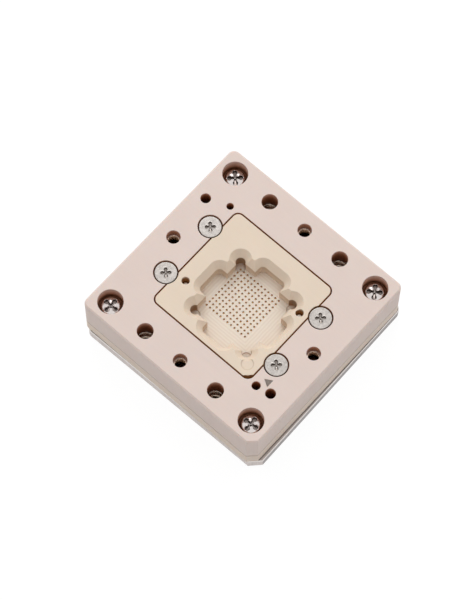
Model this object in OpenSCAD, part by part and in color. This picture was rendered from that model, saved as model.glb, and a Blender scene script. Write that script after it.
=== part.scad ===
// Test socket for a fine-pitch chip package. A plastic body carries a floating nest
// over a square field of spring probes, a retainer plate keeps the probes in from
// below, and four long screws clamp the stack to a metal base plate.
// Millimetres, +Z up. The origin is the centre of the screw pattern on the underside
// of the base plate. The key corner, with the pin-one marks, points to +X -Y.

/* [Stack] */
// Thickness of the metal base plate
base_t = 2.4; // [2:0.1:3]
// Thickness of the retainer plate
retainer_t = 3.1; // [2.8:0.1:3.6]
// Height of the body
body_h = 7.2; // [7:0.1:8]
// Width of the body and of the plates under it
body_w = 39; // [38.6:0.1:40]
// Radius of the upright corners of the body and plates
corner_r = 1.25; // [1:0.05:1.5]
// Leg of the flat cut off the key corner of the body and the retainer plate
corner_cut = 1.45; // [1:0.05:1.8]
// Leg of the flat cut off the base plate's key corner
base_corner_cut = 1.8; // [1.3:0.05:2.2]
// Bevel round the top edge of the body
top_bevel = 0.3; // [0.1:0.05:0.4]
// Bevel along the seams between the plates
seam_bevel = 0.15; // [0.05:0.01:0.2]
// Sideways offset of the base plate's blank from the screw pattern
base_shift = 0.42; // [0:0.02:0.5]
// Angle that the base plate's blank is turned from the screw pattern, in degrees
base_turn = 0.77; // [0:0.01:1]
// Depth of the relief in the base plate under the probes
base_relief_depth = 0.6; // [0.5:0.05:0.9]

/* [Package pocket] */
// Width of the square package that the pocket takes
package_w = 12; // [11.6:0.1:12.3]
// Play on each side of the package
package_gap = 0.15; // [0.1:0.05:0.25]
// Distance of the pocket's centre from the probe field's centre, along +X and along -Y
pocket_shift = 1.2; // [1:0.1:1.3]
// Depth of the pocket floor below the top
pocket_depth = 3.8; // [3.5:0.1:4]
// Depth of the sloping lead-in round the pocket
lead_in_depth = 1.45; // [1:0.05:1.8]
// Width that the lead-in gains from its foot to the top
lead_in_w = 1.1; // [0.8:0.05:1.2]
// Reach of each side recess beyond the pocket wall
recess_reach = 1.85; // [1.5:0.05:1.9]
// Width of each side recess
recess_w = 5.5; // [4.8:0.1:6]
// Radius in the corners of a side recess
recess_r = 0.9; // [0.6:0.1:1.1]
// Radius of the relief hole at each pocket corner
relief_r = 0.87; // [0.75:0.01:1]
// Distance that a relief hole sits inside its pocket corner, along both sides
relief_inset = 0.3; // [0.2:0.05:0.4]
// Depth that a relief hole is drilled below the pocket floor
relief_depth = 0.1; // [0.05:0.05:0.4]

/* [Nest] */
// Width of the square opening that the nest floats in
opening_w = 22.35; // [22.2:0.05:22.7]
// Gap between the nest and the opening
nest_gap = 0.17; // [0.12:0.01:0.25]
// Height of the nest
nest_h = 5.2; // [5:0.1:5.4]
// Free height under the nest
nest_lift = 0.5; // [0.45:0.05:0.6]
// Radius of the nest's upright corners
nest_corner_r = 1.2; // [0.8:0.05:1.4]
// Leg of the flat cut off the nest's key corner
key_cut = 1.45; // [1:0.05:1.8]
// Bevel round the nest's top edge
nest_bevel = 0.12; // [0.05:0.01:0.2]
// Radius of the shallow round mark at the key corner
key_mark_r = 1.05; // [0.8:0.05:1.15]
// Distance of that mark from the nest's sides
key_mark_inset = 2.15; // [2:0.05:2.4]
// Depth of the engraved marks
mark_depth = 0.1; // [0.05:0.01:0.15]

/* [Nest springs] */
// Distance of each spring from the nest's centre lines
spring_xy = 9.3; // [9.2:0.1:9.5]
// Radius of the spring pockets
spring_pocket_r = 1.15; // [1.1:0.01:1.2]
// Depth of the spring pocket in the nest
spring_pocket_up = 2.2; // [1.8:0.1:2.6]
// Depth of the spring pocket in the body's floor
spring_pocket_down = 0.6; // [0.4:0.1:0.9]
// Mean radius of the coil
spring_r = 0.84; // [0.7:0.02:0.9]
// Thickness of the spring wire
spring_wire = 0.26; // [0.2:0.02:0.3]
// Number of turns
spring_turns = 6; // [5:0.5:7]

/* [Guide pins] */
// Radius of the two pins that guide the nest
guide_pin_r = 0.67; // [0.6:0.01:0.72]
// Running gap round a guide pin
guide_gap = 0.05; // [0.03:0.01:0.08]
// Place of the pin on the -X side, from the centre towards -X
guide_a_x = 9.03; // [8.9:0.01:9.4]
// Place of the pin on the -X side, from the centre towards -Y
guide_a_y = 4.6; // [4.4:0.1:5.2]
// Place of the pin on the +X side, from the centre towards +X
guide_b_x = 9.36; // [9.2:0.01:9.5]
// Place of the pin on the +X side, from the centre towards +Y
guide_b_y = 3.96; // [3.9:0.01:4.4]
// Depth of the pins' tips below the top
guide_pin_drop = 1.6; // [1:0.1:2.5]
// Height of the bevelled point on a guide pin
guide_point = 0.3; // [0.1:0.05:0.5]

/* [Nest screws] */
// Place of the nest screws along X
nest_screw_x = 12.6; // [12.5:0.1:12.9]
// Place of the nest screws along Y
nest_screw_y = 5.7; // [5.4:0.1:6.4]
// Radius of a nest screw's flat head
nest_head_r = 2; // [1.9:0.02:2.1]
// Thickness of a nest screw's head
nest_head_t = 0.9; // [0.7:0.1:1.2]
// Depth of a nest screw's top below the body's top
nest_head_drop = 0.15; // [0:0.05:0.3]
// Gap round a nest screw's head
nest_seat_gap = 0.2; // [0.14:0.02:0.3]
// Radius of a nest screw's shank
nest_shank_r = 1; // [0.8:0.05:1]
// Length of a nest screw under its head
nest_screw_l = 4; // [3:0.5:4]
// Bevel round the top of a nest screw's head
nest_head_bevel = 0.2; // [0.1:0.05:0.3]
// Reach, arm width and depth of a nest screw's cross recess
nest_recess = [0.88, 0.44, 0.45]; // [0.3:0.02:1]

/* [Corner screws] */
// Distance of the corner screws and of the rows of lid holes from the centre lines
row_xy = 16; // [15.8:0.1:16.2]
// Radius of a corner screw's head
corner_head_r = 1.72; // [1.6:0.02:1.9]
// Height of a corner screw's head
corner_head_h = 1.3; // [1.1:0.1:1.5]
// Depth of the head's top below the body's top
corner_head_drop = 1.8; // [1.5:0.1:2.2]
// Radius of the counterbore for the head
counterbore_r = 2.27; // [2.1:0.01:2.4]
// Radius of a corner screw's shank
corner_shank_r = 1; // [0.9:0.05:1.1]
// Clearance round the shank in the plastic plates
corner_clearance = 0.15; // [0.1:0.05:0.3]
// Distance of the screw's tip above the underside
corner_tip_inset = 0.6; // [0.3:0.1:1]
// Bevel round the top of a corner screw's head
corner_head_bevel = 0.35; // [0.2:0.05:0.5]
// Reach, arm width and depth of a corner screw's cross recess
corner_recess = [1.38, 0.9, 0.65]; // [0.4:0.02:1.6]
// Angle that each cross recess came to rest at, in degrees
corner_turns = [45, 35, 0, 4]; // [0:1:89]

/* [Lid fastening] */
// Distance of each threaded insert from the row's middle
insert_offset = 8; // [7.6:0.1:8.4]
// Radius of the access hole over an insert
insert_hole_r = 1.45; // [1.35:0.05:1.5]
// Depth of the insert's top below the body's top
insert_drop = 4.2; // [3.8:0.1:4.6]
// Outer radius of an insert
insert_r = 1.85; // [1.7:0.05:2]
// Radius of the thread's bore
insert_bore_r = 1.05; // [1:0.05:1.1]
// Radius of the hole over a locating bush
bush_hole_r = 1.25; // [1.15:0.05:1.4]
// Depth of the bush's top below the body's top
bush_drop = 1.6; // [1.3:0.1:2]
// Outer radius of a locating bush
bush_r = 1.7; // [1.6:0.05:1.8]
// Bore radius of a locating bush
bush_bore_r = 0.9; // [0.8:0.05:1.1]
// Extra radius of the flange that holds an insert or bush from below
flange_ledge = 0.35; // [0.25:0.05:0.45]
// Thickness of that flange
flange_t = 0.5; // [0.4:0.1:0.7]

/* [Alignment] */
// Radius of the two board guide holes
board_hole_r = 0.93; // [0.85:0.01:1]
// Place of the guide hole near the -X side, from the centre towards -X
board_a_x = 16.7; // [16.4:0.1:17]
// Place of the guide hole near the -X side, from the centre towards +Y
board_a_y = 9.1; // [8.8:0.1:9.6]
// Place of the guide hole near the +X side, from the centre towards +X
board_b_x = 15.3; // [15:0.1:16]
// Place of the guide hole near the +X side, from the centre towards -Y
board_b_y = 10.25; // [10:0.05:10.6]
// Radius of the thin dowel, at the -X +Y corner
dowel_a_r = 0.63; // [0.5:0.01:0.7]
// Radius of the thick dowel, at the +X -Y corner
dowel_b_r = 0.77; // [0.7:0.01:0.8]
// Place of each dowel along X
dowel_x = 12.55; // [12.5:0.05:12.9]
// Place of each dowel along Y
dowel_y = 10.8; // [10.6:0.1:11.2]
// Depth of a dowel's top below the body's top
dowel_drop = 4.5; // [4:0.1:5]
// Radius of the triangular pin-one mark
pin_one_r = 0.9; // [0.7:0.01:0.95]
// Place of the pin-one mark from the centre towards +X
pin_one_x = 13.66; // [13.6:0.02:13.8]
// Place of the pin-one mark from the centre towards -Y
pin_one_y = 8.98; // [8.9:0.02:9.05]

/* [Retainer screws] */
// Place of the retainer screws along X
retainer_screw_x = 4.5; // [4:0.1:4.8]
// Place of the retainer screws along Y
retainer_screw_y = 14.2; // [14:0.1:14.6]
// Radius of a retainer screw's head
retainer_head_r = 1.5; // [1.3:0.05:1.6]
// Thickness of a retainer screw's head
retainer_head_t = 0.9; // [0.8:0.1:1.2]
// Radius of a retainer screw's shank
retainer_shank_r = 0.8; // [0.6:0.05:0.85]
// Length of a retainer screw under its head
retainer_screw_l = 5; // [4:0.5:6]
// Reach, arm width and depth of a retainer screw's cross recess
retainer_recess = [0.8, 0.4, 0.45]; // [0.3:0.05:1]

/* [Probes] */
// Distance between neighbouring probes
pitch = 0.8; // [0.75:0.05:0.8]
// Probes along each side of the square field
field_n = 12; // [8:1:12]
// Radius of the holes in the nest's floor
floor_hole_r = 0.18; // [0.18:0.01:0.23]
// Outer radius of a probe's barrel
barrel_r = 0.25; // [0.24:0.01:0.3]
// Wall of a barrel
barrel_wall = 0.07; // [0.06:0.01:0.08]
// Length of the crimp that closes each end of a barrel
crimp_l = 0.2; // [0.1:0.05:0.3]
// Gap between a barrel and its plate
barrel_gap = 0.02; // [0.01:0.01:0.04]
// Radius of a probe's upper tip
tip_r = 0.14; // [0.12:0.01:0.15]
// Height of the point on an upper tip
tip_point = 0.12; // [0.08:0.02:0.2]
// Distance of the tips below the pocket floor
tip_drop = 0.1; // [0.05:0.01:0.2]
// Radius of a probe's lower foot
foot_r = 0.14; // [0.12:0.01:0.16]
// Distance that the feet stand out below the retainer plate
foot_out = 0.25; // [0.2:0.05:0.3]
// Running gap round the tips and feet where they leave the plates
neck_gap = 0.03; // [0.02:0.01:0.05]
// Thickness of plate left over the barrels
upper_neck = 0.4; // [0.3:0.05:0.5]
// Thickness of plate left under the barrels
lower_neck = 0.6; // [0.4:0.05:0.8]
// Width of plate round the probe field
field_margin = 1.2; // [1:0.1:1.4]
// Width of the ledge that holds the probe plate down
plate_ledge = 1.6; // [1.2:0.1:1.8]
// Thickness of the probe plate's flange
plate_flange_t = 0.7; // [0.5:0.1:0.9]

/* [Fits] */
// Gap round a piece that is pressed or screwed in
seat_gap = 0.02; // [0.01:0.01:0.04]
// Gap round the probe plate in the body
plate_gap = 0.05; // [0.03:0.01:0.1]
// Gap round the retainer screws in the retainer plate
loose_gap = 0.1; // [0.05:0.01:0.2]
// Depth that a blind hole is drilled past the screw's tip
drill_past = 0.3; // [0.1:0.1:0.5]

/* [Hidden] */
$fn = 48;
cut = 0.05; // how far a cutting shape runs past the face that it opens
body_z = base_t + retainer_t;
top_z = body_z + body_h;
nest_z = top_z - nest_h;
body_floor_t = body_h - nest_h - nest_lift;
floor_z = top_z - pocket_depth;
pocket_w = package_w + 2 * package_gap;
recess_span = pocket_w + 2 * recess_reach;
wall_h = pocket_depth - lead_in_depth;
flare_h = lead_in_depth + cut;
flare_w = lead_in_w * flare_h / lead_in_depth;
relief_xy = pocket_w / 2 - relief_inset;
nest_w = opening_w - 2 * nest_gap;
guide_hole_r = guide_pin_r + guide_gap;
nest_seat_r = nest_head_r + nest_seat_gap;
nest_seat_z = top_z - nest_head_drop - nest_head_t;
nest_seat_depth = nest_head_drop + nest_head_t;
corner_seat_z = top_z - corner_head_drop - corner_head_h;
corner_screw_l = corner_seat_z - corner_tip_inset;
insert_h = body_h - insert_drop;
bush_h = body_h - bush_drop;
dowel_h = top_z - dowel_drop - base_t - cut;
field_half = (field_n - 1) / 2 * pitch;
plate_boss_w = 2 * (field_half + field_margin);
plate_flange_w = plate_boss_w + 2 * plate_ledge;
spring_z = body_z + body_floor_t - spring_pocket_down;
spring_l = nest_z + spring_pocket_up - spring_z;
barrel_bore_r = barrel_r - barrel_wall;
barrel_z = base_t + lower_neck;
barrel_top = body_z + body_floor_t - upper_neck;
barrel_play = 0.02;
barrel_l = barrel_top - barrel_z - barrel_play;
collar_gap = 0.012;
collar_l = 0.5;

// Places of the repeated pieces. The corners run -X +Y, +X +Y, -X -Y, +X -Y.
CORNERS = [[-1, 1], [1, 1], [-1, -1], [1, -1]];
SIDES = [[0, 1], [0, -1], [-1, 0], [1, 0]];
function nest_screw_at(i) = [CORNERS[i][0] * nest_screw_x, CORNERS[i][1] * nest_screw_y];
function corner_screw_at(i) = CORNERS[i] * row_xy;
function insert_at(i) = [CORNERS[i][0] * insert_offset, CORNERS[i][1] * row_xy];
function bush_at(i) = SIDES[i] * row_xy;
function spring_at(i) = CORNERS[i] * spring_xy;
function retainer_screw_at(i) = [CORNERS[i][0] * retainer_screw_x, CORNERS[i][1] * retainer_screw_y];
guide_pins = [[-guide_a_x, -guide_a_y], [guide_b_x, guide_b_y]];
dowels = [[-dowel_x, dowel_y, dowel_a_r], [dowel_x, -dowel_y, dowel_b_r]];
board_holes = [[-board_a_x, board_a_y], [board_b_x, -board_b_y]];

// A rectangle with round corners, or with sharp ones when r is 0.
module rounded_rectangle(wx, wy, r) {
    square([wx - 2 * r, wy], center = true);
    square([wx, wy - 2 * r], center = true);
    if (r > 0)
        for (c = CORNERS) translate([c[0] * (wx / 2 - r), c[1] * (wy / 2 - r)]) circle(r);
}

// A layer that starts as a rounded rectangle and grows by grow on every side.
module flared_layer(wx, wy, r, h, grow) {
    module wedge(across, along) rotate([90, 0, 0]) linear_extrude(along, center = true) polygon([
        [-across / 2, 0], [across / 2, 0], [across / 2 + grow, h], [-across / 2 - grow, h]]);
    wedge(wx, wy - 2 * r);
    rotate(90) wedge(wy, wx - 2 * r);
    for (c = CORNERS) translate([c[0] * (wx / 2 - r), c[1] * (wy / 2 - r), 0])
        cylinder(h = h, r1 = r, r2 = r + grow);
}

// A square plate with round upright corners, a flat key corner and bevelled edges.
module plate_block(h, low, high, key) {
    reach = (body_w - key) / sqrt(2);
    intersection() {
        union() {
            flared_layer(body_w - 2 * low, body_w - 2 * low, corner_r - low, low, low);
            translate([0, 0, low]) linear_extrude(h - low - high)
                rounded_rectangle(body_w, body_w, corner_r);
            translate([0, 0, h - high]) flared_layer(body_w, body_w, corner_r, high, -high);
        }
        rotate(-45) rotate([90, 0, 0]) linear_extrude(3 * body_w, center = true)
            polygon([[-2 * reach, 0], [reach - low, 0], [reach, low], [reach, h - high],
                [reach - high, h], [-2 * reach, h]]);
    }
}

// A well with upright walls below and a sloping lead-in above, cut down to its floor.
module lead_in_well(wx, wy, r) {
    linear_extrude(wall_h) rounded_rectangle(wx, wy, r);
    translate([0, 0, wall_h]) flared_layer(wx, wy, r, flare_h, flare_w);
}

module round_lead_in_well(r) {
    cylinder(h = wall_h, r = r);
    translate([0, 0, wall_h]) cylinder(h = flare_h, r1 = r, r2 = r + flare_w);
}

// A cross recess with four round-ended arms and a small pit, its mouth at z = 0.
// Its size is given as reach, arm width and depth.
module cross_recess(size) {
    reach = size[0];
    arm_w = size[1];
    depth = size[2];
    pit_depth = 0.4 * depth;
    for (a = [0:90:270]) rotate(a) {
        translate([0, -arm_w / 2, -depth]) cube([reach - arm_w / 2, arm_w, depth + cut]);
        translate([reach - arm_w / 2, 0, -depth]) cylinder(h = depth + cut, r = arm_w / 2);
    }
    translate([0, 0, -depth - pit_depth])
        cylinder(h = pit_depth, r1 = 0.1 * arm_w, r2 = 0.5 * arm_w);
}

module at_corner_screws() for (i = [0:3]) translate(corner_screw_at(i)) children();

module at_probes() {
    for (ix = [0:field_n - 1], iy = [0:field_n - 1])
        translate([ix * pitch - field_half, iy * pitch - field_half, 0]) children();
}

// A blind or through seat for a flanged piece that is pushed in from below.
module flanged_seat(hole_r, seat_r, seat_h) {
    translate([0, 0, body_z - cut]) cylinder(h = body_h + 2 * cut, r = hole_r);
    translate([0, 0, body_z - cut]) cylinder(h = seat_h + cut, r = seat_r + seat_gap);
    translate([0, 0, body_z - cut])
        cylinder(h = flange_t + cut, r = seat_r + flange_ledge + seat_gap);
}

module flanged_tube(seat_r, seat_h, bore_r) {
    translate([0, 0, body_z]) difference() {
        union() {
            cylinder(h = seat_h, r = seat_r);
            cylinder(h = flange_t, r = seat_r + flange_ledge);
        }
        translate([0, 0, -cut]) cylinder(h = seat_h + 2 * cut, r = bore_r);
    }
}

module body_block() {
    translate([0, 0, body_z]) plate_block(body_h, seam_bevel, top_bevel, corner_cut);
}

module nest_opening() {
    translate([0, 0, body_z + body_floor_t]) linear_extrude(nest_lift + nest_h + cut)
        rounded_rectangle(opening_w, opening_w, nest_corner_r + nest_gap);
}

module probe_plate_seat() {
    translate([0, 0, body_z - cut]) linear_extrude(body_floor_t + 2 * cut)
        square(plate_boss_w + 2 * plate_gap, center = true);
    translate([0, 0, body_z - cut]) linear_extrude(plate_flange_t + cut)
        square(plate_flange_w + 2 * plate_gap, center = true);
}

module socket_body() color("#e2d0c6") difference() {
    body_block();
    nest_opening();
    probe_plate_seat();
    for (i = [0:3]) {
        translate(nest_screw_at(i)) {
            translate([0, 0, nest_seat_z]) cylinder(h = nest_seat_depth + cut, r = nest_seat_r);
            translate([0, 0, nest_seat_z - nest_screw_l - drill_past])
                cylinder(h = nest_screw_l + drill_past + cut, r = nest_shank_r + seat_gap);
        }
        translate(corner_screw_at(i)) {
            translate([0, 0, corner_seat_z]) cylinder(h = top_z - corner_seat_z + cut, r = counterbore_r);
            translate([0, 0, body_z - cut])
                cylinder(h = corner_seat_z - body_z + 2 * cut, r = corner_shank_r + corner_clearance);
        }
        translate(insert_at(i)) flanged_seat(insert_hole_r, insert_r, insert_h);
        translate(bush_at(i)) flanged_seat(bush_hole_r, bush_r, bush_h);
        translate([0, 0, spring_z]) translate(spring_at(i))
            cylinder(h = spring_pocket_down + cut, r = spring_pocket_r);
        translate([0, 0, body_z - cut]) translate(retainer_screw_at(i))
            cylinder(h = retainer_head_t + retainer_screw_l - retainer_t + drill_past + cut,
                r = retainer_shank_r + seat_gap);
    }
    for (p = guide_pins) translate([p[0], p[1], body_z - cut])
        cylinder(h = body_floor_t + 2 * cut, r = guide_pin_r + seat_gap);
    for (p = dowels) translate([p[0], p[1], body_z - cut])
        cylinder(h = body_h + 2 * cut, r = p[2] + seat_gap);
    for (p = board_holes) translate([p[0], p[1], body_z - cut])
        cylinder(h = body_h + 2 * cut, r = board_hole_r);
    translate([pin_one_x, -pin_one_y, top_z - mark_depth]) rotate(180)
        cylinder(h = mark_depth + cut, r = pin_one_r, $fn = 3);
}

// Upper probe plate: a boss that fills the window in the body's floor, on a flange
// that is trapped between that floor and the retainer plate.
module probe_plate() color("#dccabd") difference() {
    translate([0, 0, body_z]) union() {
        linear_extrude(body_floor_t) square(plate_boss_w, center = true);
        linear_extrude(plate_flange_t) square(plate_flange_w, center = true);
    }
    at_probes() {
        translate([0, 0, body_z - cut])
            cylinder(h = body_floor_t - upper_neck + cut, r = barrel_r + barrel_gap, $fn = 24);
        translate([0, 0, body_z])
            cylinder(h = body_floor_t + cut, r = tip_r + neck_gap, $fn = 24);
    }
}

module retainer_plate() color("#dfccbd") difference() {
    translate([0, 0, base_t]) plate_block(retainer_t, seam_bevel, seam_bevel, corner_cut);
    at_probes() {
        translate([0, 0, barrel_z])
            cylinder(h = retainer_t, r = barrel_r + barrel_gap, $fn = 24);
        translate([0, 0, base_t - cut])
            cylinder(h = retainer_t, r = foot_r + neck_gap, $fn = 24);
    }
    at_corner_screws() translate([0, 0, base_t - cut])
        cylinder(h = retainer_t + 2 * cut, r = corner_shank_r + corner_clearance);
    for (p = dowels) translate([p[0], p[1], base_t - cut])
        cylinder(h = retainer_t + 2 * cut, r = p[2] + seat_gap);
    for (p = board_holes) translate([p[0], p[1], base_t - cut])
        cylinder(h = retainer_t + 2 * cut, r = board_hole_r);
    for (i = [0:3]) translate(retainer_screw_at(i)) {
        translate([0, 0, base_t - cut])
            cylinder(h = retainer_head_t + cut, r = retainer_head_r + loose_gap);
        translate([0, 0, base_t])
            cylinder(h = retainer_t + cut, r = retainer_shank_r + loose_gap);
    }
}

// Metal base plate: its blank lies a little askew, its tapped holes lie true.
module base_plate() color("#c4bab6") difference() {
    translate([base_shift, 0, 0]) rotate(base_turn)
        plate_block(base_t, top_bevel, seam_bevel, base_corner_cut);
    translate([0, 0, base_t - base_relief_depth]) linear_extrude(base_relief_depth + cut)
        square(plate_boss_w, center = true);
    at_corner_screws() translate([0, 0, -cut])
        cylinder(h = base_t + 2 * cut, r = corner_shank_r + seat_gap);
}

module nest_block() {
    translate([0, 0, nest_z]) {
        linear_extrude(nest_h - nest_bevel) rounded_rectangle(nest_w, nest_w, nest_corner_r);
        translate([0, 0, nest_h - nest_bevel])
            flared_layer(nest_w, nest_w, nest_corner_r, nest_bevel, -nest_bevel);
    }
}

module package_pocket() {
    translate([pocket_shift, -pocket_shift, floor_z]) {
        lead_in_well(pocket_w, pocket_w, 0);
        lead_in_well(recess_span, recess_w, recess_r);
        lead_in_well(recess_w, recess_span, recess_r);
        for (c = CORNERS) translate(c * relief_xy) {
            round_lead_in_well(relief_r);
            translate([0, 0, -relief_depth]) cylinder(h = relief_depth + cut, r = relief_r);
        }
    }
}

module floating_nest() color("#e6d5bf") difference() {
    nest_block();
    package_pocket();
    at_probes() translate([0, 0, nest_z - cut])
        cylinder(h = nest_h, r = floor_hole_r, $fn = 24);
    translate([nest_w / 2, -nest_w / 2, nest_z + nest_h / 2]) rotate(45)
        cube([2 * key_cut, key_cut * sqrt(2), nest_h + 2 * cut], center = true);
    translate([nest_w / 2 - key_mark_inset, key_mark_inset - nest_w / 2, top_z - mark_depth])
        cylinder(h = mark_depth + cut, r = key_mark_r);
    for (i = [0:3]) {
        translate([0, 0, nest_seat_z]) translate(nest_screw_at(i))
            cylinder(h = nest_seat_depth + cut, r = nest_seat_r);
        translate([0, 0, nest_z - cut]) translate(spring_at(i))
            cylinder(h = spring_pocket_up + cut, r = spring_pocket_r);
    }
    for (p = guide_pins) translate([p[0], p[1], nest_z - cut])
        cylinder(h = nest_h + 2 * cut, r = guide_hole_r);
}

// Thin flat-headed screw: the rim of its head holds the nest down.
module nest_screw(i) color("#c9c9cb") translate(nest_screw_at(i)) difference() {
    union() {
        translate([0, 0, nest_seat_z]) cylinder(h = nest_head_t - nest_head_bevel, r = nest_head_r);
        translate([0, 0, nest_seat_z + nest_head_t - nest_head_bevel])
            cylinder(h = nest_head_bevel, r1 = nest_head_r, r2 = nest_head_r - nest_head_bevel);
        translate([0, 0, nest_seat_z - nest_screw_l])
            cylinder(h = nest_screw_l + cut, r = nest_shank_r);
    }
    translate([0, 0, nest_seat_z + nest_head_t]) rotate(45) cross_recess(nest_recess);
}

module nest_screw_1() nest_screw(0);
module nest_screw_2() nest_screw(1);
module nest_screw_3() nest_screw(2);
module nest_screw_4() nest_screw(3);

// Long pan-headed screw through the whole stack into the base plate.
module corner_screw(i) color("#d4d2d0") translate(corner_screw_at(i)) difference() {
    translate([0, 0, corner_seat_z]) {
        cylinder(h = corner_head_h - corner_head_bevel, r = corner_head_r);
        translate([0, 0, corner_head_h - corner_head_bevel]) cylinder(
            h = corner_head_bevel, r1 = corner_head_r, r2 = corner_head_r - corner_head_bevel);
        translate([0, 0, -corner_screw_l]) cylinder(h = corner_screw_l + cut, r = corner_shank_r);
    }
    translate([0, 0, corner_seat_z + corner_head_h]) rotate(corner_turns[i])
        cross_recess(corner_recess);
}

module corner_screw_1() corner_screw(0);
module corner_screw_2() corner_screw(1);
module corner_screw_3() corner_screw(2);
module corner_screw_4() corner_screw(3);

module lid_insert(i) color("#b9b7b4") translate(insert_at(i))
    flanged_tube(insert_r, insert_h, insert_bore_r);

module lid_insert_1() lid_insert(0);
module lid_insert_2() lid_insert(1);
module lid_insert_3() lid_insert(2);
module lid_insert_4() lid_insert(3);

module locating_bush(i) color("#b4b2ae") translate(bush_at(i))
    flanged_tube(bush_r, bush_h, bush_bore_r);

module locating_bush_1() locating_bush(0);
module locating_bush_2() locating_bush(1);
module locating_bush_3() locating_bush(2);
module locating_bush_4() locating_bush(3);

// Compression spring with its end turns laid flat.
SPRING_SIDES = 6;
SPRING_STEPS = 14;
dead_turn = 0.75;
function coil_lift(turn) = spring_wire / 2 + (spring_l - spring_wire)
    * min(max((turn - dead_turn) / (spring_turns - 2 * dead_turn), 0), 1);
function coil_point(step, side) =
    let (turn = step / SPRING_STEPS, a = 360 * turn, b = 360 * side / SPRING_SIDES,
         r = spring_r + spring_wire / 2 * cos(b))
    [r * cos(a), r * sin(a), coil_lift(turn) + spring_wire / 2 * sin(b)];

module nest_spring(i) color("#a9a7a4") translate([0, 0, spring_z]) translate(spring_at(i)) {
    rings = round(spring_turns * SPRING_STEPS);
    last = rings * SPRING_SIDES;
    polyhedron(
        points = [for (s = [0:rings], k = [0:SPRING_SIDES - 1]) coil_point(s, k)],
        faces = concat(
            [[for (k = [0:SPRING_SIDES - 1]) k]],
            [[for (k = [SPRING_SIDES - 1:-1:0]) last + k]],
            [for (s = [0:rings - 1], k = [0:SPRING_SIDES - 1])
                let (a = s * SPRING_SIDES, n = (k + 1) % SPRING_SIDES)
                [a + k, a + SPRING_SIDES + k, a + SPRING_SIDES + n, a + n]]));
}

module nest_spring_1() nest_spring(0);
module nest_spring_2() nest_spring(1);
module nest_spring_3() nest_spring(2);
module nest_spring_4() nest_spring(3);

module guide_pin(p) color("#bdbbb8") translate([p[0], p[1], body_z]) {
    pin_h = body_h - guide_pin_drop;
    cylinder(h = pin_h - guide_point, r = guide_pin_r);
    translate([0, 0, pin_h - guide_point])
        cylinder(h = guide_point, r1 = guide_pin_r, r2 = guide_pin_r - guide_point);
}

module guide_pin_1() guide_pin(guide_pins[0]);
module guide_pin_2() guide_pin(guide_pins[1]);

module dowel_pin(p) color("#bdbbb8") translate([p[0], p[1], base_t + cut])
    cylinder(h = dowel_h, r = p[2]);

module dowel_pin_1() dowel_pin(dowels[0]);
module dowel_pin_2() dowel_pin(dowels[1]);

module retainer_screw(i) color("#c0bebb") translate([0, 0, base_t]) translate(retainer_screw_at(i))
    difference() {
        union() {
            cylinder(h = retainer_head_t, r = retainer_head_r);
            cylinder(h = retainer_head_t + retainer_screw_l, r = retainer_shank_r);
        }
        rotate([180, 0, 0]) cross_recess(retainer_recess);
    }

module retainer_screw_1() retainer_screw(0);
module retainer_screw_2() retainer_screw(1);
module retainer_screw_3() retainer_screw(2);
module retainer_screw_4() retainer_screw(3);

// Probe barrels: tubes crimped in at both ends round the tip and the foot.
module probe_barrels() color("#c9a35a") at_probes() translate([0, 0, barrel_z]) difference() {
    cylinder(h = barrel_l, r = barrel_r, $fn = 24);
    translate([0, 0, crimp_l])
        cylinder(h = barrel_l - 2 * crimp_l, r = barrel_bore_r, $fn = 24);
    translate([0, 0, -cut])
        cylinder(h = barrel_l + 2 * cut, r = tip_r + collar_gap, $fn = 24);
}

// Upper tips: pointed stems, each kept in its barrel by a collar under the crimp.
module probe_tips() color("#cda75c") at_probes() {
    collar_top = barrel_z + barrel_l - crimp_l - collar_gap;
    stem_top = floor_z - tip_drop - tip_point;
    translate([0, 0, collar_top - collar_l])
        cylinder(h = collar_l, r = barrel_bore_r - collar_gap, $fn = 24);
    translate([0, 0, collar_top - cut])
        cylinder(h = stem_top - collar_top + cut, r = tip_r, $fn = 24);
    translate([0, 0, stem_top]) cylinder(h = tip_point, r1 = tip_r, r2 = tip_r * 0.35, $fn = 24);
}

module probe_feet() color("#cda75c") at_probes() {
    collar_z = barrel_z + crimp_l + collar_gap;
    foot_z = base_t - foot_out;
    translate([0, 0, collar_z])
        cylinder(h = collar_l, r = barrel_bore_r - collar_gap, $fn = 24);
    translate([0, 0, foot_z + foot_r])
        cylinder(h = collar_z - foot_z - foot_r + cut, r = foot_r, $fn = 24);
    translate([0, 0, foot_z]) cylinder(h = foot_r, r1 = foot_r * 0.3, r2 = foot_r, $fn = 24);
}

socket_body();
probe_plate();
retainer_plate();
base_plate();
floating_nest();
nest_screw_1();
nest_screw_2();
nest_screw_3();
nest_screw_4();
corner_screw_1();
corner_screw_2();
corner_screw_3();
corner_screw_4();
lid_insert_1();
lid_insert_2();
lid_insert_3();
lid_insert_4();
locating_bush_1();
locating_bush_2();
locating_bush_3();
locating_bush_4();
nest_spring_1();
nest_spring_2();
nest_spring_3();
nest_spring_4();
guide_pin_1();
guide_pin_2();
dowel_pin_1();
dowel_pin_2();
retainer_screw_1();
retainer_screw_2();
retainer_screw_3();
retainer_screw_4();
probe_barrels();
probe_tips();
probe_feet();
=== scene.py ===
"""Open test socket for a chip package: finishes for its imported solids, formed screws,
threads and springs in place of its plain ones, a white table and soft light."""
import math

import bmesh
import bpy
from mathutils import Matrix, Vector


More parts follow.
